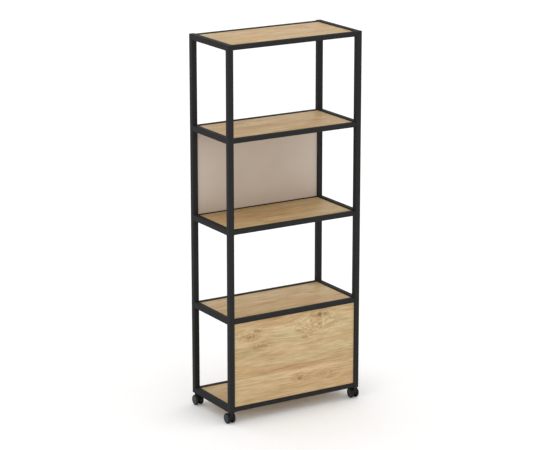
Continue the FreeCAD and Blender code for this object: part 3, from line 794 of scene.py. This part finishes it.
PANEL_KNOTS = (
    panel_knot(0.168, 0.125, 0.009, 0.0055, 0.60),
    panel_knot(0.128, 0.185, 0.014, 0.0075, 0.58),
    panel_knot(0.215, 0.320, 0.010, 0.0065, 0.64),
    panel_knot(0.708, 0.066, 0.016, 0.0105, 0.86),
    panel_knot(0.665, 0.150, 0.032, 0.0045, 0.40),
    panel_knot(0.590, 0.310, 0.006, 0.0045, 0.45),
    panel_knot(0.540, 0.802, 0.011, 0.0090, 0.64),
    panel_knot(0.760, 0.805, 0.011, 0.0095, 0.30),
)
PANEL_JOINT_DOWN = 0.68
PANEL_JOINTS = (Joint(panel_spot(0.0, PANEL_JOINT_DOWN)[1], contrast=0.082, warmth_below=0.40),)

SHELF_KNOT_DARKNESS = 0.35
SHELF_KNOTS = (
    shelf_knot(1, 0.210, 0.060, 0.012, 0.0040),
    shelf_knot(2, -0.150, 0.080, 0.012, 0.0040),
    shelf_knot(3, 0.050, -0.040, 0.010, 0.0035),
    shelf_knot(4, 0.240, 0.030, 0.012, 0.0040),
    shelf_knot(5, -0.230, 0.090, 0.010, 0.0035),
)
SHELF_JOINT_Y = -0.055
SHELF_JOINTS = tuple(
    Joint(shelf_spot(level, 0.0, SHELF_JOINT_Y)[1], contrast=0.030, warmth_below=0.0) for level in LEVELS)


# Caster wheels

# The hub's grey is lighter than the tread's black: partly the wheel's own two-tone moulding, partly
# painted light that brightens the wheel faces, which sit in shade under the unit
HUB_DARK = (0.0200, 0.0200, 0.0205)
HUB_LIGHT = (0.0270, 0.0270, 0.0275)
TREAD_BLACK = (0.0090, 0.0088, 0.0086, 1.0)
SCUFF_GREY = (0.0340, 0.0330, 0.0320, 1.0)
WHEEL_GLOSS = 0.32
WHEEL_GRAIN = 0.0008
HUB_ROUGHNESS = (0.38, 0.48)
TREAD_ROUGHER = 0.38
# The scuffed skin of the tread, in metres below the wheel's rim, and the scuffs on it
ROLLING_SKIN = (0.0008, 0.0002)
SCUFFS_TO_A_METRE = 260.0
SCUFF_RANGE = (0.45, 0.65)
SCUFF_SHARE = 0.22
SEAM_DEPTH = -3.0


def wheel_finish(name):
    """A satin moulded wheel with a dull tread round its rim, scuffed where it rolls."""
    low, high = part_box("front_left_caster_left_wheel")
    axle = (low + high) / 2
    finish, tree, shader, place = new_finish(name, Specular_IOR_Level=WHEEL_GLOSS)
    spot = split(tree, place)
    ahead = sums(tree, "ADD", sums(tree, "ABSOLUTE", spot["Y"]), -abs(axle.y))
    above = sums(tree, "ADD", spot["Z"], -axle.z)
    radius = sums(tree, "SQRT", square_sum(tree, ahead, above))
    tread = ranged(tree, radius, TREAD_RADIUS - TREAD_LINE, TREAD_RADIUS + TREAD_LINE)
    rolling = ranged(tree, radius, *(WHEEL_RADIUS - depth for depth in ROLLING_SKIN))
    marks = ranged(tree, noise(tree, place, SCUFFS_TO_A_METRE, detail=3.0), *SCUFF_RANGE)
    scuffs = sums(tree, "MULTIPLY", rolling, marks)
    surface = use_group(tree, fine_group, Vector=place, Grain=WHEEL_GRAIN)
    colour = ramp(tree, surface["Patches"], *zip(PATCH_RANGE, (HUB_DARK, HUB_LIGHT)))
    colour = mixed(tree, tread, colour, TREAD_BLACK)
    colour = mixed(tree, sums(tree, "MULTIPLY", scuffs, SCUFF_SHARE), colour, SCUFF_GREY)
    feed(tree, shader.inputs["Base Color"], colour)
    roughness = ranged(tree, surface["Patches"], *PATCH_RANGE, *HUB_ROUGHNESS)
    roughness = sums(tree, "MULTIPLY_ADD", tread, TREAD_ROUGHER, roughness)
    feed(tree, shader.inputs["Roughness"], roughness)
    seam = sums(tree, "COMPARE", radius, TREAD_RADIUS, TREAD_LINE)
    height = sums(tree, "MULTIPLY_ADD", seam, SEAM_DEPTH, surface["Height"])
    add_bump(tree, shader, height, depth=0.00004, strength=0.6)
    return finish


# The finishes of this unit

# The shade factors make the shelves' oak a little darker and yellower than the panel's: partly the decor's
# own colour, partly painted light that brightens the upright front panel
oak_shelf = oak_finish(
    "oak_shelf", seed=1.0, plank_step=7.3, shade=(0.990, 0.978, 0.935),
    streak_width=0.0170, ring_depth=0.0, knots=SHELF_KNOTS, joints=SHELF_JOINTS)
oak_panel = oak_finish(
    "oak_panel", seed=8.0, plank_step=13.1, shade=(0.998, 1.000, 1.002),
    streak_width=0.0095, ring_depth=0.030, knots=PANEL_KNOTS, joints=PANEL_JOINTS)
taupe_panel = taupe_finish("taupe_panel")
black_coat = fine_finish(
    "black_powder_coat", dark=(0.0235, 0.0235, 0.0237), light=(0.0265, 0.0265, 0.0267),
    rough=(0.58, 0.68), grain=0.0012, depth=0.00010, Specular_IOR_Level=0.07)
black_plastic = fine_finish(
    "black_moulded_plastic", dark=(0.0070, 0.0070, 0.0075), light=(0.0100, 0.0100, 0.0105),
    rough=(0.60, 0.70), grain=0.0006, depth=0.00005, Specular_IOR_Level=0.3)
wheel_plastic = wheel_finish("black_wheel_plastic")
zinc_steel = fine_finish(
    "zinc_plated_steel", dark=(0.42, 0.42, 0.41), light=(0.56, 0.56, 0.54),
    rough=(0.30, 0.42), grain=0.0005, depth=0.00003, Metallic=1.0)
blackened_steel = fine_finish(
    "blackened_steel", dark=(0.018, 0.018, 0.019), light=(0.032, 0.032, 0.033),
    rough=(0.36, 0.48), grain=0.0005, depth=0.00003, Metallic=0.6)


def finish_piece(piece, finish):
    piece.data.materials.clear()
    piece.data.materials.append(finish)


def finish_node(node, finish):
    """A finish on every material slot of a CAD node that stays."""
    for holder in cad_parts[node].material_slots:
        holder.material = finish


# The pieces and their finishes

for tube in make_tubes():
    finish_piece(tube, black_coat)
finish_piece(make_welds(), black_coat)
for board in make_boards():
    finish_piece(board, oak_shelf)
front_panel, back_panel = make_panels()
finish_piece(front_panel, oak_panel)
finish_piece(back_panel, taupe_panel)
finish_piece(make_caps(), black_plastic)

for node in ("shelf_tabs", "front_panel_tabs", "back_panel_tabs"):
    finish_node(node, black_coat)
for node in ("shelf_screws", "panel_screws", "caster_stems"):
    finish_node(node, blackened_steel)
finish_node("stem_clips", zinc_steel)
finish_node("caster_sockets", black_plastic)
for corner in CORNERS:
    finish_node(f"{corner}_caster_fork", black_plastic)
    finish_node(f"{corner}_caster_axle", zinc_steel)
    finish_node(f"{corner}_caster_left_wheel", wheel_plastic)
    finish_node(f"{corner}_caster_right_wheel", wheel_plastic)


# Studio: a white floor, white light from all round, and the camera

PLAIN_WHITE = (1.0, 1.0, 1.0, 1.0)
FLOOR_WHITE = (0.97, 0.97, 0.97, 1.0)
FLOOR_SIDE = 60.0
# Painted light: the floor's glow under the unit and away from it, and the distances between which it
# grows; the weak glow near the unit keeps its shade there dark, and the strong glow further off paints the
# floor plain white
FLOOR_GLOW = (0.015, 0.125)
FLOOR_GLOW_RANGE = (0.08, 0.38)
FOOTPRINT_RATIO = (cad_high.y - cad_low.y) / (cad_high.x - cad_low.x)
ROOM_LIGHT = 1.0
CAMERA_PLACE = (-5.914, -9.639, 4.053)
CAMERA_DOWN = math.radians(15.212)
CAMERA_ROUND = math.radians(-31.511)
CAMERA_LENS = 145.84
CAMERA_SENSOR = 36.0


def seen_or_mirrored(tree):
    """1 for rays from the camera and for reflected or refracted ones, 0 for light bounced about."""
    path = add_node(tree, "LightPath").outputs
    straight = sums(tree, "MAXIMUM", path["Is Camera Ray"], path["Is Glossy Ray"])
    return sums(tree, "MAXIMUM", straight, path["Is Transmission Ray"])


def make_floor():
    """A white floor with painted light: a glow that grows away from the unit, so the shade near it stays
    and the floor further off is painted plain white.
    """
    bpy.ops.object.select_all(action="DESELECT")
    bpy.ops.mesh.primitive_plane_add(size=FLOOR_SIDE)
    floor = bpy.context.object
    floor.name = "studio_floor"
    paint, tree, shader, place = new_finish(
        "floor_white", Base_Color=FLOOR_WHITE, Roughness=1.0, Specular_IOR_Level=0.0,
        Emission_Color=PLAIN_WHITE)
    spot = split(tree, place)
    aside = sums(tree, "MULTIPLY", spot["X"], FOOTPRINT_RATIO)
    distance = add_node(tree, "VectorMath", operation="LENGTH")
    feed(tree, distance.inputs[0], joined(tree, aside, spot["Y"], 0.0))
    # Painted light: the glow is weakest near the unit's footprint and strongest further off
    glow = ranged(tree, distance.outputs["Value"], *FLOOR_GLOW_RANGE, *FLOOR_GLOW, "SMOOTHSTEP")
    feed(tree, shader.inputs["Emission Strength"], sums(tree, "MULTIPLY", seen_or_mirrored(tree), glow))
    finish_piece(floor, paint)


def make_light():
    world = bpy.data.worlds.new("studio_white")
    bpy.context.scene.world = world
    world.use_nodes = True
    backdrop = world.node_tree.nodes["Background"]
    backdrop.inputs["Color"].default_value = PLAIN_WHITE
    backdrop.inputs["Strength"].default_value = ROOM_LIGHT


def make_camera():
    lens = bpy.data.cameras.new("photo_camera")
    lens.sensor_width = CAMERA_SENSOR
    lens.lens = CAMERA_LENS
    camera = bpy.data.objects.new("photo_camera", lens)
    camera.location = CAMERA_PLACE
    camera.rotation_euler = (math.pi / 2 - CAMERA_DOWN, 0.0, CAMERA_ROUND)
    bpy.context.scene.collection.objects.link(camera)
    bpy.context.scene.camera = camera


make_floor()
make_light()
make_camera()
bpy.context.scene.view_settings.view_transform = "Standard"
